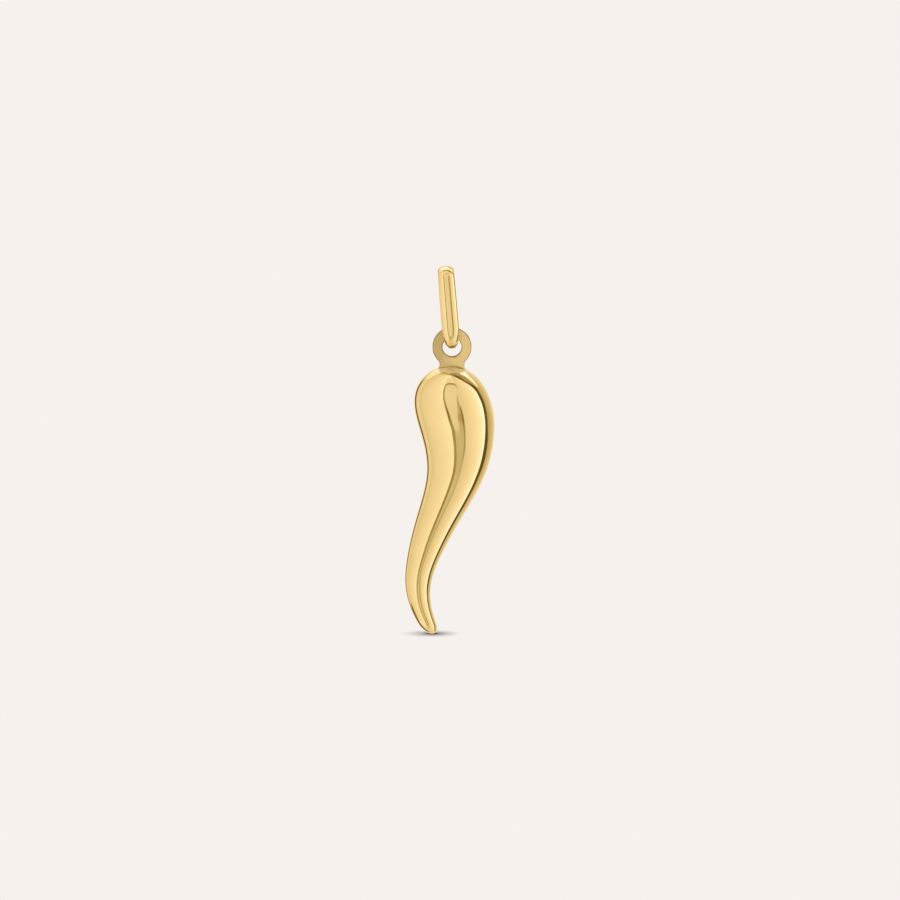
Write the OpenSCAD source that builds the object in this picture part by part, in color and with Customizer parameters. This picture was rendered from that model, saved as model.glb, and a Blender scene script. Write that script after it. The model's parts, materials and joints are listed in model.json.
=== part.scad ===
// Cornicello horn pendant: a polished gold horn with a flat eyelet soldered to its dome, hung on a
// bail of low-domed strip. Units are millimetres. +Z is up and the front faces -Y. The origin is where a chain
// carries the pendant: the middle of the bail's inner face, at its top. The pendant hangs from there.

/* [Horn] */
// Length of the horn from the top of its dome to its tip
horn_l = 20.5; // [15:0.1:30]
// Width of the horn at its widest
horn_w = 5.95; // [4.4:0.05:8]
// Depth of the horn from front to back at its deepest
horn_depth = 4.1; // [2.8:0.1:6]
// How far the horn's middle line swings out to the side
horn_sway = 2.55; // [0:0.05:4]
// Length over which the dome rounds off
dome_l = 5.4; // [4:0.1:7]
// Length over which the tip rounds off
tip_l = 1.1; // [0.6:0.1:2]

/* [Eyelet] */
// Outer diameter of the flat eyelet
eyelet_d = 2.96; // [2.7:0.02:4]
// Diameter of the hole in the eyelet
hole_d = 1.45; // [1.3:0.05:1.9]
// Thickness of the eyelet's plate
eyelet_t = 0.5; // [0.3:0.05:0.8]
// Width of the neck that joins the eyelet to the dome
neck_w = 1.88; // [1.4:0.04:2.4]
// Radius of the hollow curve between the eyelet and its neck
neck_fillet = 0.35; // [0.25:0.05:0.8]
// Height of the hole's centre over the top of the dome
neck_rise = 1.48; // [1.4:0.02:2]
// How deep the neck is let into the dome
neck_root = 0.6; // [0.4:0.05:1]

/* [Bail] */
// Outer height of the bail's loop
bail_h = 6.3; // [5:0.1:9]
// Outer depth of the bail's loop from front to back
bail_depth = 2.3; // [2.1:0.1:3.2]
// Angle that each half of the low arch over the top turns, before the shoulders turn the rest
arch_turn = 27; // [15:1:60]
// Radius of the inner face at the two shoulders, between the arch and the strands
shoulder_r = 0.15; // [0.05:0.05:0.3]
// Width of the strip on the strands
bail_w = 1.3; // [1:0.02:2]
// Width of the strip over the top bend
crown_w = 1.24; // [0.9:0.02:1.8]
// Thickness of the domed strip at its middle
bail_t = 0.5; // [0.4:0.05:0.75]
// Thickness of the strip at its edges
edge_t = 0.28; // [0.1:0.02:0.4]
// Share of its width that the strip loses at the lowest point of the foot, where its corners are rounded
foot_round = 0.25; // [0:0.05:0.4]
// Angle that the bail leans to the side
bail_lean = 4.6; // [-12:0.2:12]

/* [Fit] */
// Gap between the bail's inner face and the top of the eyelet's hole
seat_gap = 0.35; // [0.2:0.01:0.45]
// Gap between the corners of the bail's bottom bend and the edge of the eyelet's hole
corner_gap = 0.05; // [0.04:0.01:0.15]

/* [Hidden] */
gold = [0.87, 0.72, 0.42];
satin_gold = [0.80, 0.67, 0.40];

// The horn's form at equal steps from the dome to the tip, as the control values of a smooth curve.
// Columns: middle line's offset as a share of horn_sway, width as a share of horn_w, and depth as a
// share of horn_depth.
horn_form = [
    [-0.063, 1.077, 1.07],
    [-0.043, 1.065, 1.06],
    [ 0.120, 1.012, 1.01],
    [ 0.225, 0.874, 0.90],
    [ 0.166, 0.746, 0.79],
    [-0.141, 0.654, 0.70],
    [-0.515, 0.546, 0.60],
    [-0.819, 0.439, 0.50],
    [-1.051, 0.336, 0.40],
    [-0.984, 0.271, 0.32],
    [-0.595, 0.204, 0.25]];
offset_shares = [for (row = horn_form) row[0]];
width_shares = [for (row = horn_form) row[1]];
depth_shares = [for (row = horn_form) row[2]];
horn_rings = 52;
horn_sides = 40;
disc_sides = 96;
hole_sides = 64;
fillet_sides = 48;

hole_r = hole_d / 2;
eyelet_r = eyelet_d / 2;

// The loop of the bail, measured on the strip's inner face.
foot_r = bail_depth / 2 - bail_t;
bail_inner_h = bail_h - 2 * bail_t;
shoulder_y = foot_r - shoulder_r;
arch_r = shoulder_r + shoulder_y / sin(arch_turn);
shoulder_z = (arch_r - shoulder_r) * cos(arch_turn) - arch_r;
foot_z = foot_r - bail_inner_h;
// The bottom bend reaches this far over the hole's centre: in its middle, and at the eyelet's faces.
foot_rise = hole_r - seat_gap;
face_rise = foot_rise + foot_r - sqrt(foot_r ^ 2 - (eyelet_t / 2) ^ 2);
// The strip narrows at its bottom bend to pass through the eyelet's hole.
foot_w = 2 * sqrt((hole_r - corner_gap) ^ 2 - face_rise ^ 2);
// Share of the loop's height from its top, below which the strip narrows to foot_w.
taper_start = 0.78;
// Share of the loop's height from its top, below which the foot's corners round off.
round_start = 0.94;
// How soon the strip's domed face falls off to its edges: 2 is a parabola, more is flatter in the middle.
dome_power = 3;
arch_steps = 8;
shoulder_steps = 8;
foot_steps = 18;
strand_steps = 8;
dome_steps = 14;

// The steps round the loop. Each is the direction in which the strip faces outwards, the bend's radius, and
// the depth and height of the bend's centre. An angle of 0 faces back and 90 faces up.
function bend(from, to, steps, r, y, z) = [for (i = [0 : steps - 1]) [from + (to - from) * i / steps, r, y, z]];
function strand(angle, from, to) =
    [for (i = [0 : strand_steps - 1]) [angle, foot_r, 0, from + (to - from) * i / strand_steps]];
loop = concat(
    bend(0, 90 - arch_turn, shoulder_steps, shoulder_r, shoulder_y, shoulder_z),
    bend(90 - arch_turn, 90 + arch_turn, arch_steps, arch_r, 0, -arch_r),
    bend(90 + arch_turn, 180, shoulder_steps, shoulder_r, -shoulder_y, shoulder_z),
    strand(180, shoulder_z, foot_z),
    bend(180, 360, foot_steps, foot_r, 0, foot_z),
    strand(360, foot_z, shoulder_z));

// Centre of the eyelet's hole: on the bail's own middle line, under its bottom bend.
hang = bail_inner_h + foot_rise;
hole_x = hang * sin(bail_lean);
hole_z = -hang * cos(bail_lean);
horn_top = hole_z - neck_rise;

function clamp01(t) = max(0, min(1, t));
function smooth(t) = clamp01(t) ^ 2 * (3 - 2 * clamp01(t));

// A list's value at share s of its length, as a uniform cubic spline of its control values. The value
// before the first one, and after the last, carries on in a straight line.
function control(list, i) =
    let (last = len(list) - 1)
    i < 0 ? 2 * list[0] - list[1] : i > last ? 2 * list[last] - list[last - 1] : list[i];
function spline(list, s) =
    let (steps = len(list) - 1, i = min(floor(s * steps), steps - 1), f = s * steps - i)
    ((1 - f) ^ 3 * control(list, i - 1)
    + (3 * f ^ 3 - 6 * f ^ 2 + 4) * control(list, i)
    + (-3 * f ^ 3 + 3 * f ^ 2 + 3 * f + 1) * control(list, i + 1)
    + f ^ 3 * control(list, i + 2)) / 6;

// How much of its full size the horn has at share s: it rounds off to nothing at both ends.
function round_off(s) =
    sqrt(1 - (1 - clamp01(s * horn_l / dome_l)) ^ 3) * sqrt(1 - (1 - clamp01((1 - s) * horn_l / tip_l)) ^ 3);

// A point of the horn's skin at share s of its length and angle a round it.
function horn_point(s, a) = [
    hole_x + horn_sway * spline(offset_shares, s)
        + horn_w / 2 * spline(width_shares, s) * round_off(s) * cos(a),
    horn_depth / 2 * spline(depth_shares, s) * round_off(s) * sin(a),
    horn_top - horn_l * s];

// The two triangles between neighbours a, b on one ring and c, d on the next.
function quad(a, b, c, d) = [[a, b, d], [a, d, c]];

// The horn's body: oval rings, closer together at both ends, between one point at each end.
module horn_body() {
    shares = [for (i = [1 : horn_rings - 1]) (1 - cos(180 * i / horn_rings)) / 2];
    rings = len(shares);
    skin = [for (s = shares) for (k = [0 : horn_sides - 1]) horn_point(s, 360 * k / horn_sides)];
    dome_end = rings * horn_sides;
    tip_end = dome_end + 1;
    function at(i, k) = i * horn_sides + k % horn_sides;
    faces = [
        for (k = [0 : horn_sides - 1]) [dome_end, at(0, k + 1), at(0, k)],
        for (i = [0 : rings - 2]) for (k = [0 : horn_sides - 1])
            each quad(at(i, k), at(i, k + 1), at(i + 1, k), at(i + 1, k + 1)),
        for (k = [0 : horn_sides - 1]) [tip_end, at(rings - 1, k), at(rings - 1, k + 1)]];
    polyhedron(points = concat(skin, [horn_point(0, 0), horn_point(1, 0)]), faces = faces, convexity = 4);
}

// The eyelet's outline in the picture plane, with its hole's centre at the origin: a disc on a straight
// neck, with a hollow curve on each side that touches both.
module eyelet_outline() {
    curve_x = neck_w / 2 + neck_fillet;
    curve_y = -sqrt((eyelet_r + neck_fillet) ^ 2 - curve_x ^ 2);
    touch = eyelet_r / (eyelet_r + neck_fillet);
    circle(r = eyelet_r, $fn = disc_sides);
    translate([-neck_w / 2, -neck_rise - neck_root])
        square([neck_w, neck_rise + neck_root]);
    difference() {
        translate([-curve_x * touch, curve_y])
            square([2 * curve_x * touch, curve_y * touch - curve_y]);
        for (side = [-1, 1])
            translate([side * curve_x, curve_y])
                circle(r = neck_fillet, $fn = fillet_sides);
    }
}

// The horn with its soldered eyelet: one solid, with a true round hole for the bail.
module horn() {
    difference() {
        union() {
            color(gold) horn_body();
            color(satin_gold)
                translate([hole_x, eyelet_t / 2, hole_z])
                    rotate([90, 0, 0])
                        linear_extrude(eyelet_t) eyelet_outline();
        }
        translate([hole_x, 0, hole_z])
            rotate([90, 0, 0])
                cylinder(r = hole_r, h = 3 * eyelet_t, center = true, $fn = hole_sides);
    }
}

// Width of the strip at share u of the loop's height, counted from its top.
function strip_w(u) =
    let (strand = crown_w + (bail_w - crown_w) * smooth(2 * u),
        tapered = strand + (foot_w - strand) * smooth((u - taper_start) / (1 - taper_start)))
    tapered * (1 - foot_round * clamp01((u - round_start) / (1 - round_start)) ^ 3);

// The strip's section at width w, as points to the side and outwards: the domed outer face from edge to
// edge, between the two corners of the flat inner face.
function strip_section(w) = [
    [-w / 2, 0],
    for (k = [0 : dome_steps]) let (q = 2 * k / dome_steps - 1)
        [w / 2 * q, edge_t + (bail_t - edge_t) * (1 - abs(q) ^ dome_power)],
    [w / 2, 0]];

// The bail: a low-domed strip carried round its long loop, leaning to the side about the chain's seat.
module bail() {
    points = [for (p = loop)
        let (out_y = cos(p[0]), out_z = sin(p[0]), y = p[2] + p[1] * out_y, z = p[3] + p[1] * out_z)
        for (q = strip_section(strip_w(-z / bail_inner_h)))
            [q[0], y + q[1] * out_y, z + q[1] * out_z]];
    sides = dome_steps + 3;
    rings = len(loop);
    function at(i, k) = (i % rings) * sides + k % sides;
    color(gold)
        rotate([0, -bail_lean, 0])
            polyhedron(points = points, convexity = 6, faces = [
                for (i = [0 : rings - 1]) for (k = [0 : sides - 1])
                    each quad(at(i, k), at(i, k + 1), at(i + 1, k), at(i + 1, k + 1))]);
}

bail();
horn();
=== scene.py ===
"""Dresses the cornicello horn pendant: a polished gold horn, its flat eyelet and its domed bail, on a pale
floor among a photographer's light cards. Lengths are metres, and the front faces -Y."""

import json
import math

import bmesh
import bpy
import numpy as np
from bpy.props import FloatProperty, FloatVectorProperty, IntProperty, PointerProperty
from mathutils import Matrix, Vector


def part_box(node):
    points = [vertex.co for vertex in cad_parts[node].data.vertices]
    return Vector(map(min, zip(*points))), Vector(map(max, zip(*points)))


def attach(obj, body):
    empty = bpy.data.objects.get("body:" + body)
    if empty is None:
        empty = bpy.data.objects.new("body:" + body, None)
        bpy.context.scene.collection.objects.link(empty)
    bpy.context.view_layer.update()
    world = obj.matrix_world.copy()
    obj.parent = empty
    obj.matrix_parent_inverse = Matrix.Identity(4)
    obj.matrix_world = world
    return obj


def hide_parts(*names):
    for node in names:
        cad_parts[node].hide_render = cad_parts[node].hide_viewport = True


bl_info = {
    "name": "Cornicello Horn Pendant",
    "version": (1, 0, 0),
    "blender": (4, 5, 0),
    "location": "3D View > Sidebar > Pendant",
    "description": "Builds the gold horn, its eyelet and its bail on the packed frame, with a small studio",
    "category": "Object",
}

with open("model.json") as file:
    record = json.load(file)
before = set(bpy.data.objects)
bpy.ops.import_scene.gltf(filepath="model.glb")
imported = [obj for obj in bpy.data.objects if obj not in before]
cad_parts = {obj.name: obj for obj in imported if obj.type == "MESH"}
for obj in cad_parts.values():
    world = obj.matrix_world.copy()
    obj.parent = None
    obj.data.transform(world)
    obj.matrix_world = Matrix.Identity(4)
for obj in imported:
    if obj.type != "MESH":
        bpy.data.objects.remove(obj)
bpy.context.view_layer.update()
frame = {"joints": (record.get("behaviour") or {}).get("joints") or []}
HOLE_CENTRE = tuple(frame["joints"][0]["pos_m"])
BAIL_LEAN = math.atan2(HOLE_CENTRE[0], -HOLE_CENTRE[2])
TIP_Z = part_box("horn")[0].z

# The horn's form at equal steps from the dome to the tip, as the control values of a smooth curve.
# Columns: middle line's offset as a share of the sway, width as a share of the widest width, and depth
# as a share of the greatest depth.
HORN_FORM = (
    (-0.063, 1.077, 1.07),
    (-0.043, 1.065, 1.06),
    (0.120, 1.012, 1.01),
    (0.225, 0.874, 0.90),
    (0.166, 0.746, 0.79),
    (-0.141, 0.654, 0.70),
    (-0.515, 0.546, 0.60),
    (-0.819, 0.439, 0.50),
    (-1.051, 0.336, 0.40),
    (-0.984, 0.271, 0.32),
    (-0.595, 0.204, 0.25),
)

# The solder's outline round the neck: the power that makes it a rounded oblong, how far it is let into the
# dome, and how far under the neck's faces it starts.
SOLDER_SQUARENESS = 0.35
SOLDER_LET_IN = 0.00004
SOLDER_OVERLAP = 0.00001

# How many steps the surfaces are drawn in: round the eyelet, round each of its corners and over its face;
# across the strip and up its edge; round the solder and over it.
EYELET_STEPS = 720
CORNER_STEPS = 6
FACE_STEPS = 12
STRIP_STEPS = 97
EDGE_STEPS = 20
SOLDER_STEPS = 240
FILLET_STEPS = 17

# Over how many neighbours the strip's section is smoothed.
STRIP_MEAN = 7

# Where the gold is dulled and painted paler as a painted highlight: how far from the seam and from the
# bail's lowest point, the share of that reach that is dulled and painted in full, and how much more a step
# counts from front to back than across.
SEAM_REACH = 0.0014
FOOT_REACH = 0.0006
DULLED_AND_PAINTED_IN_FULL = 0.88
DULL_AND_HIGHLIGHT_STRETCH = (1, 1.25, 1)

# The bail's foot, darkened with painted shade: its height over the lowest point of the inner face, and
# where the painted shade starts and is full, beside that height.
FOOT_SHADE_HEIGHT = 0.00014
FOOT_SHADE_EDGE = (-0.00004, 0.00003)

# The eyelet's satin faces, darker on one side with painted shade: the stretch across over which the
# painted shade gives way to the full gold, how far mottling shifts it, and how bright the shaded side's gold
# is. The solder, whose darker colour is painted shade: the share of that colour where it is palest, and its
# roughness.
SHADE_FADE_STRETCH = (-0.0008, 0.0013)
MOTTLE_SHIFT = 0.0003
SHADED_SIDE = 0.76
PALEST_SOLDER = 0.6
SOLDER_ROUGHNESS = (0.28, 0.42)

# How far the roughness drifts, in shares of the polish and of the satin.
POLISH_DRIFT = (0.7, 1.4)
SATIN_DRIFT = (0.9, 1.1)

# Between which values most of a pattern of noise lies, and how fine each pattern of the finish is, in waves
# a metre.
NOISE_SPAN = (0.3, 0.7)
WAVES = {
    "drift": 420, "buffing": 900, "polishing lines": 9000, "mottle": 1100, "stain": 1500, "satin": 1800,
    "dents": 1300, "solder drift": 2200, "solder flow": 3000,
}

# The floor: half its width, over what distances from the tip it fades away, how near the pendant darkens it,
# and the direction of the open sky that counts.
FLOOR_REACH = 0.3
FLOOR_FADE = (0.04, 0.15)
SHADOW_REACH = 0.0018
OPEN_SIDE = (-0.6, 0.0, 0.8)


def length(name, default, low, high, description):
    """A size in metres, shown with its unit."""
    return FloatProperty(
        name=name, default=default, min=low, max=high, description=description,
        subtype="DISTANCE", unit="LENGTH", precision=5,
    )


def share(name, default, description, high=1.0):
    """A plain number from 0 to high."""
    return FloatProperty(name=name, default=default, min=0.0, max=high, description=description)


def angle(name, default, description):
    """An angle given in degrees and kept in radians."""
    return FloatProperty(
        name=name, default=math.radians(default), min=0.0, max=math.pi / 2, subtype="ANGLE",
        description=description,
    )


def colour(name, default, description):
    """A scene-linear colour."""
    return FloatVectorProperty(
        name=name, default=default, size=3, min=0.0, max=1.0, description=description, subtype="COLOR",
    )


class PendantHornSizes(bpy.types.PropertyGroup):
    """Sizes of the horn's body."""

    sway: length("Sway", 0.00255, 0.0, 0.01, "How far the middle line swings to the side")
    width: length("Width", 0.00595, 0.001, 0.02, "Width at the widest")
    depth: length("Depth", 0.0041, 0.001, 0.02, "Depth from front to back at the deepest")
    dome: length("Dome", 0.0054, 0.001, 0.01, "Length over which the dome rounds off")
    tip: length("Tip", 0.0011, 0.0002, 0.005, "Length over which the tip rounds off")
    rings: IntProperty(name="Rings", default=300, min=16, max=600, description="Rings of faces")
    sides: IntProperty(name="Sides", default=192, min=16, max=320, description="Faces round a ring")


class PendantEyeletSizes(bpy.types.PropertyGroup):
    """Sizes of the flat eyelet and its neck."""

    radius: length("Radius", 0.00148, 0.0005, 0.01, "Outer radius of the disc")
    hole: length("Hole", 0.000725, 0.0002, 0.005, "Radius of the hole")
    thickness: length("Thickness", 0.0005, 0.0001, 0.002, "Thickness of the plate")
    neck: length("Neck", 0.00188, 0.0005, 0.005, "Width of the neck")
    hollow: length("Hollow curve", 0.00035, 0.0001, 0.002, "Radius of the curve from disc to neck")
    rise: length("Rise", 0.00148, 0.0005, 0.005, "Height of the hole's centre over the dome")
    root: length("Root", 0.0006, 0.0, 0.002, "How deep the neck is let into the dome")
    edge: length("Edge", 0.00006, 0.0, 0.0002, "Radius that the plate's edges are worn to")
    fillet: length("Fillet", 0.0002, 0.0, 0.0005, "Radius of the solder's fillet round the neck's foot")


class PendantBailSizes(bpy.types.PropertyGroup):
    """Sizes of the domed bail."""

    height: length("Height", 0.0063, 0.002, 0.02, "Outer height of the loop")
    depth: length("Depth", 0.0023, 0.001, 0.01, "Outer depth of the loop from front to back")
    arch: angle("Arch turn", 27, "Angle that each half of the arch over the top turns")
    shoulder: length("Shoulder", 0.00015, 0.00001, 0.001, "Radius of the inner face beside the arch")
    strand: length("Strand width", 0.0013, 0.0003, 0.005, "Width of the strip on the strands")
    crown: length("Crown width", 0.00124, 0.0003, 0.005, "Width of the strip over the top bend")
    pinch: length("Foot width", 0.0010488, 0.0002, 0.005, "Width where the strip passes the hole")
    thickness: length("Thickness", 0.0005, 0.0001, 0.002, "Thickness of the strip at its middle")
    edge: length("Edge", 0.00028, 0.0, 0.0005, "Thickness of the strip at its edges")
    dome: share("Dome", 3.0, "How flat the dome is in its middle, 2 being a parabola", high=6.0)
    taper: share("Taper start", 0.78, "Share of the height below which the strip narrows")
    rounded: share("Rounding", 0.25, "Share of its width that the strip loses at its lowest point")
    rounding: share("Rounding start", 0.94, "Share of the height below which the foot's corners round off")


class PendantFinish(bpy.types.PropertyGroup):
    """Colour and polish of the gold."""

    gold: colour("Gold", (0.98, 0.82, 0.50), "Colour of the polished gold")
    deep_gold: colour("Deep gold", (0.955, 0.79, 0.465), "Colour of the gold where it is a little darker")
    polish: share("Polish", 0.06, "Roughness of the mirror polish")
    # Painted highlight: the paler gold lightens the gold near the seam and round the bail's lowest point.
    paler: colour("Paler gold", (1.0, 0.93, 0.72), "Colour of the gold where solder has run thin over it")
    satin: share("Satin", 0.42, "Roughness of the eyelet's satin faces")
    dulled: share("Dulled", 0.42, "Roughness added where the gold was heated or rubs")
    # Painted shade: the solder's colour darkens the joint where the neck meets the dome.
    solder: colour("Solder", (0.60, 0.46, 0.22), "Colour of the stained solder round the neck's foot")
    # Painted shade: this colour darkens the bail's lowest part and the eyelet's rounded edges.
    painted_shade: colour("Tarnish", (0.34, 0.23, 0.08), "Colour of the gold's tarnished edges")


class PendantStudio(bpy.types.PropertyGroup):
    """Backdrop, light and camera."""

    backdrop: colour("Backdrop", (0.921, 0.880, 0.847), "Colour of the floor and of what lies behind it")
    cards: share("Cards", 1.0, "Brightness of the light cards", high=4.0)
    shadow: share("Shadow", 3.1, "How fast the floor darkens where the tip stands close over it", high=20.0)
    elevation: angle("Camera elevation", 6, "Height of the camera over the horizon")
    distance: length("Camera distance", 0.5, 0.1, 2.0, "Distance from the camera to the pendant")
    picture: length("Picture height", 0.0685, 0.02, 1.0, "Height that the picture takes in at the pendant")
    aim_x: length("Aim across", 0.000304, -0.1, 0.1, "Place across that the camera looks at")
    aim_z: length("Aim height", -0.01355, -0.1, 0.1, "Height that the camera looks at")


def smooth_step(t):
    """0 below 0, 1 above 1, and between them 3 t squared less 2 t cubed."""
    t = np.clip(t, 0.0, 1.0)
    return t * t * (3 - 2 * t)


def form_curve(column, s):
    """A column of HORN_FORM at the shares s: a uniform cubic B-spline of its values, which carries on in
    a straight line past both ends."""
    values = np.array(HORN_FORM)[:, column]
    steps = len(values) - 1
    values = np.concatenate([[2 * values[0] - values[1]], values, [2 * values[-1] - values[-2]]])
    i = np.minimum((s * steps).astype(int), steps - 1)
    f = s * steps - i
    return (
        (1 - f) ** 3 * values[i]
        + (3 * f**3 - 6 * f**2 + 4) * values[i + 1]
        + (-3 * f**3 + 3 * f**2 + 3 * f + 1) * values[i + 2]
        + f**3 * values[i + 3]
    ) / 6


def rounding(distance, over):
    """How full a form is at a distance from its end: the square root of 1 less the cube of what is left
    of the rounded stretch, so that it ends in a smooth dome."""
    return np.sqrt(1 - (1 - np.clip(distance / over, 0, 1)) ** 3)


def horn_surface(size, s):
    """Ovals stacked along the horn, one for each share s of its length. The oval's middle lies at the
    sway times the offset column, its half axes are the half width and half depth times their columns
    and the rounding of both ends, and the second parameter goes once round it."""
    top_z = HOLE_CENTRE[2] - bpy.context.scene.pendant_eyelet.rise
    tall = top_z - TIP_Z
    s = s[:, None]
    a = (2 * np.pi * np.arange(size.sides) / size.sides)[None, :]
    full = rounding(s * tall, size.dome) * rounding((1 - s) * tall, size.tip)
    x = HOLE_CENTRE[0] + size.sway * form_curve(0, s) + size.width / 2 * form_curve(1, s) * full * np.cos(a)
    y = size.depth / 2 * form_curve(2, s) * full * np.sin(a)
    return np.stack([x, y, top_z - tall * s + 0 * a], -1)


def eyelet_outline(size, turn):
    """Distance from the hole's centre to the plate's outline in each direction, turn being 0 straight
    down: the disc's radius, then where the ray meets the hollow curve beside the neck, then the neck's
    straight side, then the foot of its root."""
    curve_x = size.neck / 2 + size.hollow
    reach = size.radius + size.hollow
    curve_z = math.sqrt(reach**2 - curve_x**2)
    t = np.abs(turn)
    middle = curve_x * np.sin(t) + curve_z * np.cos(t)
    inside = middle**2 - reach**2 + size.hollow**2
    hollow = middle - np.sqrt(np.maximum(inside, 0))
    # The angles are held back only where the side and the root aren't used, so that nothing is divided by 0.
    side = size.neck / 2 / np.sin(np.maximum(t, 0.01))
    root = (size.rise + size.root) / np.cos(np.minimum(t, 1.2))
    neck = np.where(t > math.atan2(size.neck / 2, curve_z), hollow, np.minimum(side, root))
    return np.where(t >= math.atan2(curve_x, curve_z), size.radius, neck)


def eyelet_surface(size):
    """A flat ring on a neck. The first parameter turns once about the hole. The second goes round the
    plate's section: over the front face from the hole's wall to the outline, round the edge and back
    along the back face, with a quarter circle of the edge radius at each of its four corners. Gives the
    points, and beside them 1 on the rounded edges and 0 on the faces."""
    turn = -np.pi + 2 * np.pi * np.arange(EYELET_STEPS) / EYELET_STEPS
    corner = np.linspace(0, np.pi / 2, CORNER_STEPS)
    flat = np.linspace(0, 1, FACE_STEPS)[1:-1]
    # Columns: share of the way from the hole to the outline, shift that way in edge radii, side of the
    # plate, and shift in depth in edge radii.
    inner = np.stack([0 * corner, 1 - np.sin(corner), 0 * corner - 1, 1 - np.cos(corner)], 1)
    face = np.stack([flat, 0 * flat, 0 * flat - 1, 0 * flat], 1)
    outer = np.stack([0 * corner + 1, np.cos(corner) - 1, 0 * corner - 1, 1 - np.sin(corner)], 1)
    front = np.concatenate([inner[::-1], face, outer[::-1]])
    section = np.concatenate([front, front[::-1] * (1, 1, -1, -1)])
    reach = eyelet_outline(size, turn)[:, None] - size.hole
    r = size.hole + reach * section[:, 0] + size.edge * section[:, 1]
    y = size.thickness / 2 * section[:, 2] + size.edge * section[:, 3]
    turn = turn[:, None]
    points = np.stack([HOLE_CENTRE[0] + r * np.sin(turn), y + 0 * r, HOLE_CENTRE[2] - r * np.cos(turn)], -1)
    on_face = (section[:, 0] > 0) & (section[:, 0] < 1)
    return points, np.where(on_face, 0.0, 1.0) + 0 * r


def bail_path(size):
    """The inner line of the loop, seen from the side: a shoulder, a low arch, a shoulder, a straight
    strand, a bottom bend and the other strand, each touching the next. Gives the outward direction and
    the place of each step."""
    foot_r = size.depth / 2 - size.thickness
    foot_z = foot_r - (size.height - 2 * size.thickness)
    shoulder_y = foot_r - size.shoulder
    arch_r = size.shoulder + shoulder_y / math.sin(size.arch)
    shoulder_z = (arch_r - size.shoulder) * math.cos(size.arch) - arch_r
    half, level = math.pi / 2, math.pi
    # Columns: direction at its start and its end, radius, the bend's centre in depth, its height at the
    # start and the end, and the number of steps.
    stretches = (
        (0, half - size.arch, size.shoulder, shoulder_y, shoulder_z, shoulder_z, 36),
        (half - size.arch, half + size.arch, arch_r, 0, -arch_r, -arch_r, 36),
        (half + size.arch, level, size.shoulder, -shoulder_y, shoulder_z, shoulder_z, 36),
        (level, level, foot_r, 0, shoulder_z, foot_z, 48),
        (level, 2 * level, foot_r, 0, foot_z, foot_z, 72),
        (2 * level, 2 * level, foot_r, 0, foot_z, shoulder_z, 48),
    )
    parts = []
    for start, end, radius, across, low, high, steps in stretches:
        t = np.arange(steps) / steps
        turn = start + (end - start) * t
        parts.append((turn, across + radius * np.cos(turn), low + (high - low) * t + radius * np.sin(turn)))
    return [np.concatenate(part) for part in zip(*parts)]


def strip_section(size):
    """The strip's section as a closed line, in half widths to the side and metres outwards: a dome that
    falls off from its middle by a power of the distance to the side, two upright edges and a flat inner
    face. A running mean over a few neighbours rounds off its corners."""
    q = np.linspace(-1, 1, STRIP_STEPS)[:-1]
    up = np.linspace(0, 1, EDGE_STEPS)[:-1]
    domed = size.edge + (size.thickness - size.edge) * (1 - np.abs(q) ** size.dome)
    side = np.concatenate([q, 0 * up + 1, -q, 0 * up - 1])
    rise = np.concatenate([domed, size.edge * (1 - up), 0 * q, size.edge * up])
    shifts = range(-(STRIP_MEAN // 2), STRIP_MEAN // 2 + 1)
    return tuple(sum(np.roll(line, k) for k in shifts) / STRIP_MEAN for line in (side, rise))


def bail_surface(size):
    """The strip's section carried round the loop, leaning to the side about the chain's seat. Its width
    grows from the crown to the strand and narrows at the foot, whose corners round off by a cube."""
    turn, y, z = (part[:, None] for part in bail_path(size))
    side, rise = strip_section(size)
    down = -z / (size.height - 2 * size.thickness)
    strand = size.crown + (size.strand - size.crown) * smooth_step(2 * down)
    width = strand + (size.pinch - strand) * smooth_step((down - size.taper) / (1 - size.taper))
    width = width * (1 - size.rounded * np.clip((down - size.rounding) / (1 - size.rounding), 0, 1) ** 3)
    x = width / 2 * side
    y = y + rise * np.cos(turn)
    z = z + rise * np.sin(turn)
    cos_lean, sin_lean = math.cos(BAIL_LEAN), math.sin(BAIL_LEAN)
    return np.stack([x * cos_lean - z * sin_lean, y, x * sin_lean + z * cos_lean], -1)


def solder_surface(horn, eyelet):
    """A hollow fillet of solder round the neck's foot. The first parameter turns once about the neck,
    whose outline is a rounded oblong. The second goes out over the fillet, whose height over the dome
    falls by a quarter circle, and back underneath, where it is let into the dome."""
    turn = (2 * np.pi * np.arange(SOLDER_STEPS) / SOLDER_STEPS)[:, None]
    out = np.linspace(0, 1, FILLET_STEPS)
    out, face = np.concatenate([out, out[::-1]]), np.repeat([1.0, 0.0], FILLET_STEPS)
    cos_t, sin_t = np.cos(turn), np.sin(turn)
    side = np.sign(cos_t) * np.abs(cos_t) ** SOLDER_SQUARENESS
    deep = np.sign(sin_t) * np.abs(sin_t) ** SOLDER_SQUARENESS
    x = (eyelet.neck / 2 - SOLDER_OVERLAP + eyelet.fillet * out) * side
    y = (eyelet.thickness / 2 - SOLDER_OVERLAP + eyelet.fillet * out) * deep
    lift = np.where(face > 0, eyelet.fillet * (1 - np.sqrt(1 - (1 - out) ** 2)), -SOLDER_LET_IN)
    half_width = horn.width / 2 * HORN_FORM[0][1]
    half_depth = horn.depth / 2 * HORN_FORM[0][2]
    shift = horn.sway * HORN_FORM[0][0]
    round_in = ((x - shift) / half_width) ** 2 + (y / half_depth) ** 2
    top_z = HOLE_CENTRE[2] - eyelet.rise
    z = top_z - horn.dome * (1 - np.cbrt(1 - round_in)) + lift
    return np.stack([HOLE_CENTRE[0] + x, y, z], -1)


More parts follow.
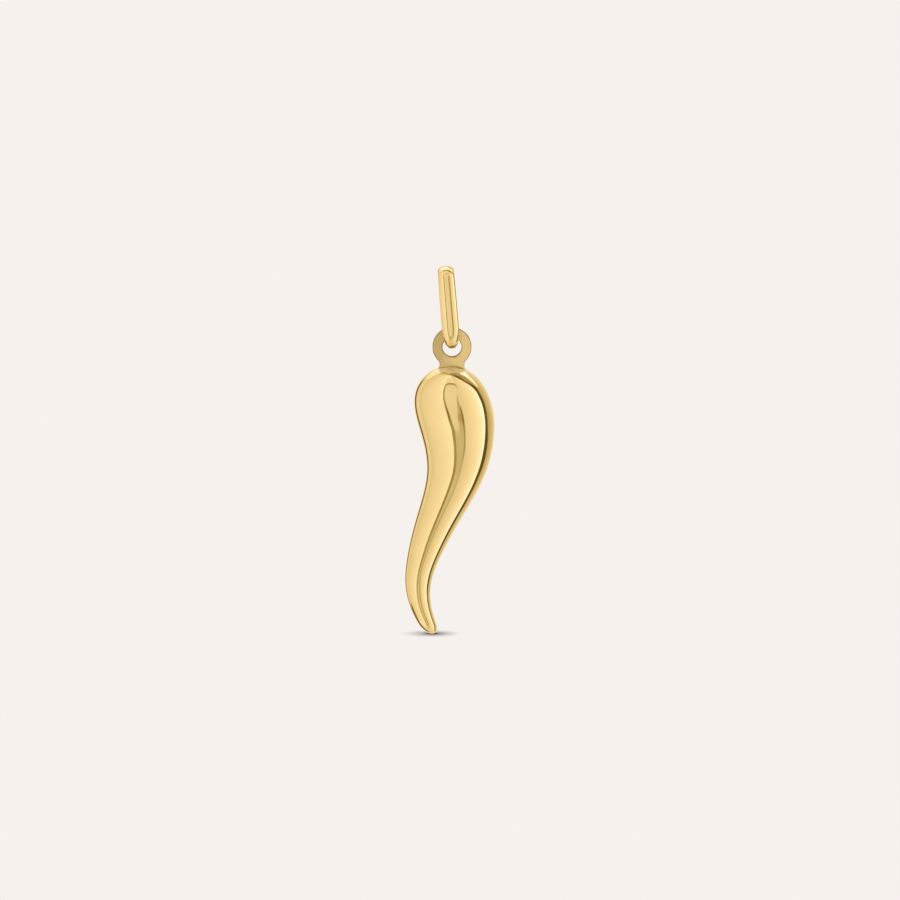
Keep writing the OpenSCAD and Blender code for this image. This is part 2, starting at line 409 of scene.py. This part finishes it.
def skin(name, points, ends=None):
    """A closed mesh over a grid of points that wraps round its second way. With two end points its first
    and last rows are fanned to them, and without them it wraps round its first way too."""
    rows, sides = points.shape[:2]
    here = np.arange(rows * sides).reshape(rows, sides)
    beside = np.roll(here, -1, 1)
    quads = np.stack([here, beside, np.roll(beside, -1, 0), np.roll(here, -1, 0)], -1)
    corners = points.reshape(-1, 3)
    if ends is None:
        faces = quads.reshape(-1, 4).tolist()
    else:
        first, last = rows * sides, rows * sides + 1
        faces = quads[:-1].reshape(-1, 4).tolist()
        faces += np.stack([here[0] * 0 + first, beside[0], here[0]], -1).tolist()
        faces += np.stack([here[0] * 0 + last, here[-1], beside[-1]], -1).tolist()
        corners = np.concatenate([corners, ends])
    mesh = bpy.data.meshes.new(name)
    mesh.from_pydata(corners, [], faces)
    shell = bmesh.new()
    shell.from_mesh(mesh)
    inside_out = shell.calc_volume(signed=True) < 0
    shell.free()
    if inside_out:
        mesh.flip_normals()
    mesh.shade_smooth()
    piece = bpy.data.objects.new(name, mesh)
    bpy.context.scene.collection.objects.link(piece)
    return piece


def hand_over(piece, node, material):
    """Gives a piece its material and its place in the part, and hides the CAD piece that it stands for."""
    piece.data.materials.append(material)
    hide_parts(node)
    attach(piece, node)


def add(tree, kind, inputs=None, **settings):
    """A new node. Each input takes a value, or the socket that feeds it."""
    node = tree.nodes.new(kind)
    for key, value in settings.items():
        setattr(node, key, value)
    for socket, value in (inputs or {}).items():
        if isinstance(value, bpy.types.NodeSocket):
            tree.links.new(value, node.inputs[socket])
        else:
            node.inputs[socket].default_value = value
    return node


def ramp(tree, value, low, high, to_low=0.0, to_high=1.0, kind="SMOOTHSTEP"):
    """Carries a value from low..high to to_low..to_high, and no further."""
    inputs = {"Value": value, "From Min": low, "From Max": high, "To Min": to_low, "To Max": to_high}
    return add(tree, "ShaderNodeMapRange", inputs, interpolation_type=kind).outputs["Result"]


def mix(tree, factor, below, above):
    """Two colours mixed."""
    return add(tree, "ShaderNodeMix", {0: factor, 6: below, 7: above}, data_type="RGBA").outputs[2]


def new_material(name):
    """A material with a metal shader, and the tree that feeds it."""
    material = bpy.data.materials.new(name)
    material.use_nodes = True
    shader = material.node_tree.nodes["Principled BSDF"]
    shader.inputs["Metallic"].default_value = 1.0
    return material, material.node_tree, shader


def own_place(tree):
    """Each point's place in the piece's own coordinates, in metres."""
    return add(tree, "ShaderNodeTexCoord").outputs["Object"]


def maths(tree, operation, *values):
    """A sum on numbers."""
    return add(tree, "ShaderNodeMath", dict(enumerate(values)), operation=operation).outputs[0]


def vector_maths(tree, operation, first, second, output="Value"):
    """A sum on two vectors."""
    return add(tree, "ShaderNodeVectorMath", {0: first, 1: second}, operation=operation).outputs[output]


def grain(tree, pattern, detail=2.0, stretch=(1, 1, 1)):
    """Noise in the piece's own coordinates, as fine as the pattern says."""
    place = add(tree, "ShaderNodeMapping", {"Vector": own_place(tree), "Scale": stretch}).outputs[0]
    inputs = {"Vector": place, "Scale": WAVES[pattern], "Detail": detail}
    return add(tree, "ShaderNodeTexNoise", inputs).outputs["Fac"]


def varied(tree, pattern, detail, low=0.0, high=1.0):
    """A value that drifts from low to high with a pattern of noise."""
    return ramp(tree, grain(tree, pattern, detail), *NOISE_SPAN, low, high)


def bumps(tree, shader, height, strength, distance):
    """Raises the surface by a height that the light sees and the outline doesn't."""
    bump = add(tree, "ShaderNodeBump", {"Height": height, "Strength": strength, "Distance": distance})
    tree.links.new(bump.outputs[0], shader.inputs["Normal"])


def polished_gold(finish, name, dull_and_highlight_place, dull_and_highlight_reach, shaded_foot=None):
    """Mirror-polished gold: a slow drift of colour, a roughness that varies with the buffing, and faint
    polishing lines along the piece. Within a reach of one place it is duller, and painted paler as a painted
    highlight. Beyond a distance down the bail's lean, a shaded foot is darkened with painted shade."""
    material, tree, shader = new_material(name)
    drift = ramp(tree, grain(tree, "drift", 3), 0.35, 0.65)
    colours = mix(tree, drift, (*finish.gold, 1), (*finish.deep_gold, 1))
    place = own_place(tree)
    spread = vector_maths(tree, "MULTIPLY", place, DULL_AND_HIGHLIGHT_STRETCH, "Vector")
    away = vector_maths(tree, "DISTANCE", spread, dull_and_highlight_place)
    # Painted highlight: near the place the gold is painted paler, and it is also made rougher.
    near = ramp(tree, away, dull_and_highlight_reach * DULLED_AND_PAINTED_IN_FULL, dull_and_highlight_reach, 1.0, 0.0)
    colours = mix(tree, near, colours, (*finish.paler, 1))
    # Painted shade darkens the bail's lowest part, where it passes through the eyelet's hole.
    if shaded_foot:
        down = (math.sin(BAIL_LEAN), 0, -math.cos(BAIL_LEAN))
        along = vector_maths(tree, "DOT_PRODUCT", place, down)
        worn = ramp(tree, along, *(shaded_foot + edge for edge in FOOT_SHADE_EDGE))
        colours = mix(tree, worn, colours, (*finish.painted_shade, 1))
    tree.links.new(colours, shader.inputs["Base Color"])
    buffing = varied(tree, "buffing", 4, *(finish.polish * share for share in POLISH_DRIFT))
    roughness = maths(tree, "MULTIPLY_ADD", near, finish.dulled, buffing)
    tree.links.new(roughness, shader.inputs["Roughness"])
    lines = grain(tree, "polishing lines", stretch=(1, 1, 0.12))
    bumps(tree, shader, lines, strength=0.04, distance=0.00001)
    return material


def satin_gold(finish):
    """The eyelet's gold: cut from sheet and less polished, with a satin face. Painted shade darkens the face
    towards one side and along its edges, which the mesh marks as its rim."""
    material, tree, shader = new_material("Satin gold")
    # Painted shade: the satin face is darker towards the left.
    across = add(tree, "ShaderNodeSeparateXYZ", {0: own_place(tree)}).outputs[0]
    mottle = varied(tree, "mottle", 3, -MOTTLE_SHIFT, MOTTLE_SHIFT)
    unshaded = ramp(tree, maths(tree, "ADD", across, mottle), *SHADE_FADE_STRETCH)
    colours = mix(tree, unshaded, (*(SHADED_SIDE * c for c in finish.deep_gold), 1), (*finish.gold, 1))
    # Painted shade on the rounded edges, made uneven by a pattern of noise.
    rim = add(tree, "ShaderNodeAttribute", attribute_name="rim").outputs["Fac"]
    stain = varied(tree, "stain", 2, 0.6, 1.0)
    colours = mix(tree, maths(tree, "MULTIPLY", rim, stain), colours, (*finish.painted_shade, 1))
    tree.links.new(colours, shader.inputs["Base Color"])
    satin = varied(tree, "satin", 4, *(finish.satin * share for share in SATIN_DRIFT))
    tree.links.new(satin, shader.inputs["Roughness"])
    bumps(tree, shader, grain(tree, "dents"), strength=0.03, distance=0.00002)
    return material


def shaded_solder(finish):
    """Solder that has run round the neck's foot, smooth and a little uneven. Its colour, darker than the
    gold, is painted shade in the joint where the neck meets the dome.
    """
    material, tree, shader = new_material("Stained solder")
    drift = varied(tree, "solder drift", 3)
    own = PALEST_SOLDER
    paler = tuple(own * a + (1 - own) * b for a, b in zip(finish.solder, finish.gold))
    tree.links.new(mix(tree, drift, (*finish.solder, 1), (*paler, 1)), shader.inputs["Base Color"])
    flow = varied(tree, "solder flow", 3, *SOLDER_ROUGHNESS)
    tree.links.new(flow, shader.inputs["Roughness"])
    return material


# Directions round the pendant, in degrees: azimuth is 0 in front and grows to the right, and elevation is
# 0 at the horizon. A card lies to the right of, to the left of, above or below each of its edges, and a side
# is the angle that such an edge is drawn in and the way in which the card goes on from it. An edge that
# isn't straight is a list of points, each the other angle and then the edge's own.
SPANS = {"azimuth": (-180, 180), "elevation": (-90, 90)}
SIDES = {
    "right": ("azimuth", 1), "left": ("azimuth", -1),
    "above": ("elevation", 1), "below": ("elevation", -1),
}
PANEL_EDGE = ((-90, 79), (-37, 79), (-30, 76.5), (-9, 77), (15, 79), (30, 76), (40, 67.5), (52, 52), (65, 37),
              (75, 20), (80, 0), (90, 0))
FLAG_EDGE = ((-90, 101), (-37, 101), (-30, 97), (-22, 97.5), (-17, 96.5), (-12, 93.5), (-8, 90), (0, 91),
             (16, 94), (35, 90), (44, 77), (53, 62), (70, 59), (75, 50), (80, 30), (90, 0))
CEILING_EDGE = ((-180, 50), (-120, 52), (-90, 68), (-60, 78), (-30, 79), (5, 80), (180, 80))
GAP_EDGE = ((-90, -13), (-30, -13), (-20, -11.5), (-17, -11.5), (-12, -14), (-8, -14.5), (5, -17.5),
            (12, -18.5), (20, -19), (32, -18.5), (42, -16), (60, -11), (90, -6))
SLIT_EDGE = ((-90, -8), (-30, -8), (-20, -5.5), (-17, -4.5), (-12, -8), (-8, -9), (5, -13.5), (12, -15),
             (20, -16), (32, -15), (42, -12.5), (60, -7.5), (90, -2))

# The light cards in the order they are hung. Each has its edges, then the angle along which its
# brightness changes and the brightness at points of it. An edge is the side of it that the card is on,
# where it runs, and how soft it is.
CARDS = (
    # Left card, brightest beside the gap.
    ((("right", -132, 16), ("left", 6, 4), ("below", CEILING_EDGE, 6), ("above", -35, 8)),
     "azimuth", ((-120, 0.80), (-110, 0.88), (-100, 0.80), (-91, 0.75), (-83, 0.83), (-55, 0.905),
                 (-36, 0.98), (-21, 1.06), (-10, 1.12))),
    # Right card, brightest just inside its far edge.
    ((("right", 5, 6), ("left", PANEL_EDGE, 3), ("above", -40, 8)),
     "azimuth", ((18, 0.82), (30, 0.89), (40, 0.97), (50, 1.05), (60, 1.13), (68, 1.24), (73, 1.38),
                 (78, 1.45))),
    # Where the two cards meet, over the gap.
    ((("right", -14, 5), ("left", 16, 10), ("above", 47, 4), ("below", 66, 10)),
     "azimuth", ((-12, 0.84), (0, 0.87), (8, 0.94), (14, 0.87))),
    # Dark flag behind the right card.
    ((("right", PANEL_EDGE, 3), ("left", FLAG_EDGE, 6), ("above", -45, 8)),
     "azimuth", ((0, 0.24), (50, 0.16), (75, 0.12), (100, 0.12))),
    # Wall behind the flag.
    ((("right", FLAG_EDGE, 7), ("left", 150, 40), ("above", -45, 8), ("below", 74, 8)),
     "azimuth", ((60, 0.36), (75, 0.44), (90, 0.46), (98, 0.53), (104, 0.60), (110, 0.63), (125, 0.72))),
    # Two lights over the back.
    ((("right", ((-90, 89), (34, 92), (47, 90.5), (56, 95), (62, 97.5), (90, 98)), 5),
      ("above", ((80, 39), (96, 33), (103, 31), (109, 34), (112, 40), (117, 49), (126, 50), (180, 50)), 5),
      ("below", 70, 6)),
     "elevation", ((30, 0.95), (36, 1.0), (43, 1.2), (48, 1.3), (54, 1.45), (62, 1.42), (68, 1.25))),
    ((("left", -103, 8), ("above", ((-180, 34), (-150, 33), (-120, 36), (-100, 50)), 8), ("below", 69, 8)),
     "azimuth", ((-180, 1.40), (-160, 1.38), (-145, 1.15), (-120, 1.06), (-105, 1.05))),
    # Dark ceiling round the top.
    ((("above", ((-180, 70), (-120, 70), (-95, 76), (-60, 78.5), (20, 77), (60, 74), (96, 70), (180, 70)),
       6),),
     "azimuth", ((-180, 0.58), (-30, 0.50), (10, 0.38), (60, 0.34), (100, 0.52), (180, 0.58))),
    # The gap that the camera looks through, first its dark rim.
    ((("right", GAP_EDGE, 1.5),
      ("left", ((-90, 6), (-21, 6.5), (-19.8, 8), (-19.2, 13.5), (-18.3, 17), (-14, 18), (-6, 18.4),
                (2, 17.4), (10, 15.8), (18, 16.2), (30, 20.5), (44, 17), (60, 15)), 1.5),
      ("below", ((-15, 46.5), (-5, 49.5), (5, 50), (14, 47.5), (20, 42), (30, 38)), 2), ("above", -86, 4)),
     "elevation", ((-30, 0.45), (-18, 0.38), (-12, 0.32), (-6, 0.24), (0, 0.30), (20, 0.32), (45, 0.42))),
    ((("right", SLIT_EDGE, 3),
      ("left", ((-90, 3), (-21, 3.5), (-19.8, 5), (-19.2, 10), (-18.3, 12.6), (-14, 13.6), (-6, 12.2),
                (-2, 12.2), (6, 14), (10, 17), (20, 19.5), (34, 18.5), (44, 14), (60, 12)), 1.5),
      ("below", ((-15, 41.5), (-5, 44), (5, 44.5), (14, 42.5), (20, 38), (30, 34)), 2), ("above", -84, 4)),
     "elevation", ((-60, 0.80), (-30, 0.62), (-18, 0.63), (-16.5, 0.69), (-14.5, 0.83), (0, 0.85), (14, 0.86),
                   (30, 0.84))),
    # Over the stand the gap is open to the right.
    ((("right", 17.5, 2), ("left", 26, 4), ("below", 36, 6), ("above", 12, 8)),
     "azimuth", ((18, 0.83), (30, 0.89))),
    # The camera's stand.
    ((("right", ((-90, 5), (-15, 5), (-5, 6), (3, 8.5), (22, 12.5), (60, 12.5)), 2.5),
      ("left", ((-90, 15), (-15, 15), (-2, 13.5), (8, 14.5), (22, 13.5), (60, 12.5)), 2),
      ("below", 24, 6), ("above", -17.5, 3)),
     "elevation", ((-24, 0.62), (-10.5, 0.60), (-7.5, 0.50), (-4.5, 0.50), (-1.5, 0.56), (4, 0.54),
                   (16, 0.44))),
    # Dark band behind the left card.
    ((("right", -149, 8), ("left", -129, 6), ("above", -70, 8), ("below", 24, 12)),
     "elevation", ((-40, 0.14), (4, 0.14), (10, 0.20), (24, 0.32))),
    ((("right", -134, 6), ("left", -92, 5), ("above", -70, 8), ("below", -25.5, 3)),
     "elevation", ((-40, 0.22), (-24, 0.22))),
)
# The brightness between the cards, along the elevation, and the highest that any list here may hold.
BETWEEN_CARDS = ((-90, 0.75), (-50, 0.90), (-36, 1.1), (-30, 0.95), (60, 0.75), (80, 0.58))
BRIGHTEST = 2
# What colour each brightness of a card has, before the tint that all of them share: dim ones are warm, and
# the brightest are cool. Columns: brightness, red, green and blue.
CARD_TONES = (
    (0, 0, 0, 0), (0.184, 0.184, 0.137, 0.04), (0.292, 0.292, 0.222, 0.09), (0.407, 0.407, 0.354, 0.19),
    (0.503, 0.503, 0.44, 0.278), (0.60, 0.60, 0.546, 0.408), (0.72, 0.72, 0.68, 0.57),
    (0.83, 0.83, 0.78, 0.705), (0.905, 0.905, 0.86, 0.81), (1.0, 0.975, 0.93, 0.90), (1.06, 0.99, 1.0, 0.99),
    (1.15, 1.0, 1.103, 1.15), (1.3, 1.05, 1.2, 1.6), (2.0, 1.9, 1.895, 2.695),
)
CARD_TINT = (1.02, 0.934, 0.72)
# The brightest tone that the curves can hold.
TONE_SPAN = 3.0


def draw_curve(curve, points, x_span, y_span):
    """Draws straight lines through points on a curve whose both ways run from 0 to 1."""
    (x_low, x_high), (y_low, y_high) = x_span, y_span
    points = [((x - x_low) / (x_high - x_low), (y - y_low) / (y_high - y_low)) for x, y in points]
    curve.points[0].location = points[0]
    curve.points[1].location = points[-1]
    for x, y in points[1:-1]:
        curve.points.new(x, y)
    for point in curve.points:
        point.handle_type = "VECTOR"


def hang_cards(studio):
    """Paints the light cards on the sky by their direction from the pendant, for all but what the camera
    sees directly, which is the plain backdrop."""
    world = bpy.data.worlds.new("Light cards")
    bpy.context.scene.world = world
    world.use_nodes = True
    tree = world.node_tree
    tree.nodes.clear()
    towards = add(tree, "ShaderNodeTexCoord").outputs["Generated"]
    x, y, z = add(tree, "ShaderNodeSeparateXYZ", {0: towards}).outputs

    around = maths(tree, "ARCTAN2", x, maths(tree, "MULTIPLY", y, -1.0))
    angles = {
        "azimuth": maths(tree, "MULTIPLY", around, 180 / math.pi),
        "elevation": maths(tree, "MULTIPLY", maths(tree, "ARCSINE", z), 180 / math.pi),
    }
    parts = {way: ramp(tree, angles[way], *span, kind="LINEAR") for way, span in SPANS.items()}

    def follow(way, points, span):
        """The height of a line through points along one of the two angles."""
        node = add(tree, "ShaderNodeFloatCurve", {"Value": parts[way]})
        draw_curve(node.mapping.curves[0], points, SPANS[way], span)
        node.mapping.update()
        return ramp(tree, node.outputs[0], 0.0, 1.0, *span, kind="LINEAR")

    bright = follow("elevation", BETWEEN_CARDS, (0, BRIGHTEST))
    for edges, way, shades in CARDS:
        mask = 1.0
        for side, edge, soft in edges:
            own, sign = SIDES[side]
            if isinstance(edge, tuple):
                other = "elevation" if own == "azimuth" else "azimuth"
                edge = follow(other, edge, SPANS[own])
            past = maths(tree, "SUBTRACT", angles[own], edge)
            mask = maths(tree, "MULTIPLY", mask, ramp(tree, past, -sign * soft / 2, sign * soft / 2))
        shade = follow(way, shades, (0, BRIGHTEST))
        bright = add(tree, "ShaderNodeMix", {0: mask, 2: bright, 3: shade}).outputs[0]
    tone = add(tree, "ShaderNodeRGBCurve", {"Color": maths(tree, "DIVIDE", bright, TONE_SPAN)})
    for channel in range(3):
        points = [(row[0], row[channel + 1] * CARD_TINT[channel]) for row in CARD_TONES]
        draw_curve(tone.mapping.curves[channel], points, (0, TONE_SPAN), (0, TONE_SPAN))
    tone.mapping.update()
    strength = TONE_SPAN * studio.cards
    cards = add(tree, "ShaderNodeBackground", {"Color": tone.outputs[0], "Strength": strength})
    plain = add(tree, "ShaderNodeBackground", {"Color": (*studio.backdrop, 1)})
    seen = add(tree, "ShaderNodeLightPath").outputs["Is Camera Ray"]
    both = add(tree, "ShaderNodeMixShader", {0: seen, 1: cards.outputs[0], 2: plain.outputs[0]}).outputs[0]
    add(tree, "ShaderNodeOutputWorld", {"Surface": both})


def lay_floor(studio):
    """A pale sheet under the tip, as bright as the backdrop all over. It darkens where the pendant
    stands close over it, by a power of how much of the sky to the left is open there, and fades away
    far off."""
    corners = np.array([(-1, -1, 0), (1, -1, 0), (1, 1, 0), (-1, 1, 0)]) * FLOOR_REACH + (0, 0, TIP_Z)
    mesh = bpy.data.meshes.new("floor")
    mesh.from_pydata(corners, [], [(0, 1, 2, 3)])
    floor = bpy.data.objects.new("floor", mesh)
    bpy.context.scene.collection.objects.link(floor)
    material = bpy.data.materials.new("Pale floor")
    material.use_nodes = True
    tree = material.node_tree
    tree.nodes.clear()
    facing = add(tree, "ShaderNodeCombineXYZ", dict(enumerate(OPEN_SIDE))).outputs[0]
    inputs = {"Distance": SHADOW_REACH, "Normal": facing}
    open_sky = add(tree, "ShaderNodeAmbientOcclusion", inputs, samples=16).outputs["AO"]
    light = maths(tree, "POWER", open_sky, studio.shadow)
    glow = add(tree, "ShaderNodeEmission", {"Color": (*studio.backdrop, 1), "Strength": light}).outputs[0]
    away = vector_maths(tree, "DISTANCE", own_place(tree), (0, 0, TIP_Z))
    far = ramp(tree, away, *FLOOR_FADE)
    clear = add(tree, "ShaderNodeBsdfTransparent").outputs[0]
    faded = add(tree, "ShaderNodeMixShader", {0: far, 1: glow, 2: clear}).outputs[0]
    add(tree, "ShaderNodeOutputMaterial", {"Surface": faded})
    floor.data.materials.append(material)
    floor.visible_glossy = False


def set_camera(studio):
    """A long lens in front of the pendant and a little above it."""
    data = bpy.data.cameras.new("camera")
    data.lens = data.sensor_width * studio.distance / studio.picture
    data.clip_start = 0.01
    camera = bpy.data.objects.new("camera", data)
    back = Vector((0, -math.cos(studio.elevation), math.sin(studio.elevation)))
    camera.location = Vector((studio.aim_x, 0, studio.aim_z)) + studio.distance * back
    camera.rotation_euler = back.to_track_quat("Z", "Y").to_euler()
    bpy.context.scene.collection.objects.link(camera)
    bpy.context.scene.camera = camera


class PENDANT_OT_horn(bpy.types.Operator):
    """Build the horn's polished body"""

    bl_idname = "pendant.horn"
    bl_label = "Horn"

    def execute(self, context):
        size = context.scene.pendant_horn
        steps = (1 - np.cos(np.pi * np.arange(size.rings + 1) / size.rings)) / 2
        points = horn_surface(size, steps)
        piece = skin("horn_body", points[1:-1], ends=points[[0, -1], 0])
        seam = (HOLE_CENTRE[0], 0, HOLE_CENTRE[2] - context.scene.pendant_eyelet.rise)
        material = polished_gold(context.scene.pendant_finish, "Polished gold", seam, SEAM_REACH)
        hand_over(piece, "horn", material)
        return {"FINISHED"}


class PENDANT_OT_eyelet(bpy.types.Operator):
    """Build the flat eyelet that is soldered to the dome"""

    bl_idname = "pendant.eyelet"
    bl_label = "Eyelet"

    def execute(self, context):
        points, rim = eyelet_surface(context.scene.pendant_eyelet)
        piece = skin("eyelet", points)
        piece.data.attributes.new("rim", "FLOAT", "POINT").data.foreach_set("value", rim.ravel())
        hand_over(piece, "horn", satin_gold(context.scene.pendant_finish))
        return {"FINISHED"}


class PENDANT_OT_solder(bpy.types.Operator):
    """Build the solder that has run round the foot of the eyelet's neck"""

    bl_idname = "pendant.solder"
    bl_label = "Solder"

    def execute(self, context):
        points = solder_surface(context.scene.pendant_horn, context.scene.pendant_eyelet)
        hand_over(skin("solder_seam", points), "horn", shaded_solder(context.scene.pendant_finish))
        return {"FINISHED"}


class PENDANT_OT_bail(bpy.types.Operator):
    """Build the domed bail that a chain passes through"""

    bl_idname = "pendant.bail"
    bl_label = "Bail"

    def execute(self, context):
        size = context.scene.pendant_bail
        # Painted shade darkens the bail below this height, and a painted highlight lightens it round its
        # lowest point.
        shaded_foot = size.height - size.thickness - FOOT_SHADE_HEIGHT
        foot = (math.sin(BAIL_LEAN) * shaded_foot, 0, -math.cos(BAIL_LEAN) * shaded_foot)
        material = polished_gold(context.scene.pendant_finish, "Polished bail", foot, FOOT_REACH, shaded_foot)
        hand_over(skin("bail_strip", bail_surface(size)), "bail", material)
        return {"FINISHED"}


class PENDANT_OT_stage(bpy.types.Operator):
    """Lay the floor, hang the light cards and set the camera"""

    bl_idname = "pendant.stage"
    bl_label = "Stage"

    def execute(self, context):
        studio = context.scene.pendant_studio
        context.scene.view_settings.view_transform = "Standard"
        set_camera(studio)
        hang_cards(studio)
        lay_floor(studio)
        return {"FINISHED"}


class PENDANT_PT_panel(bpy.types.Panel):
    """Lists the pieces of the pendant with their sizes"""

    bl_label = "Cornicello horn pendant"
    bl_idname = "PENDANT_PT_panel"
    bl_space_type = "VIEW_3D"
    bl_region_type = "UI"
    bl_category = "Pendant"

    def draw(self, context):
        for operator, group in PIECES:
            self.layout.operator(operator)
            if group:
                self.list_settings(getattr(context.scene, group))
        self.list_settings(context.scene.pendant_finish)

    def list_settings(self, settings):
        """Lists each setting of a group in the panel."""
        for name in settings.bl_rna.properties.keys():
            if name not in ("rna_type", "name"):
                self.layout.prop(settings, name)


PIECES = (
    ("pendant.stage", "pendant_studio"),
    ("pendant.horn", "pendant_horn"),
    ("pendant.eyelet", "pendant_eyelet"),
    ("pendant.solder", None),
    ("pendant.bail", "pendant_bail"),
)
GROUPS = (
    ("pendant_horn", PendantHornSizes),
    ("pendant_eyelet", PendantEyeletSizes),
    ("pendant_bail", PendantBailSizes),
    ("pendant_finish", PendantFinish),
    ("pendant_studio", PendantStudio),
)
OPERATORS = (PENDANT_OT_stage, PENDANT_OT_horn, PENDANT_OT_eyelet, PENDANT_OT_solder, PENDANT_OT_bail)


def register():
    """Registers the sizes, the operators and the panel."""
    for name, group in GROUPS:
        bpy.utils.register_class(group)
        setattr(bpy.types.Scene, name, PointerProperty(type=group))
    for operator in OPERATORS:
        bpy.utils.register_class(operator)
    bpy.utils.register_class(PENDANT_PT_panel)


def unregister():
    """Takes all of it out again."""
    bpy.utils.unregister_class(PENDANT_PT_panel)
    for operator in reversed(OPERATORS):
        bpy.utils.unregister_class(operator)
    for name, group in reversed(GROUPS):
        delattr(bpy.types.Scene, name)
        bpy.utils.unregister_class(group)


def main():
    """Builds the stage and the pieces."""
    register()
    bpy.ops.pendant.stage()
    bpy.ops.pendant.horn()
    bpy.ops.pendant.eyelet()
    bpy.ops.pendant.solder()
    bpy.ops.pendant.bail()


if __name__ == "__main__":
    main()
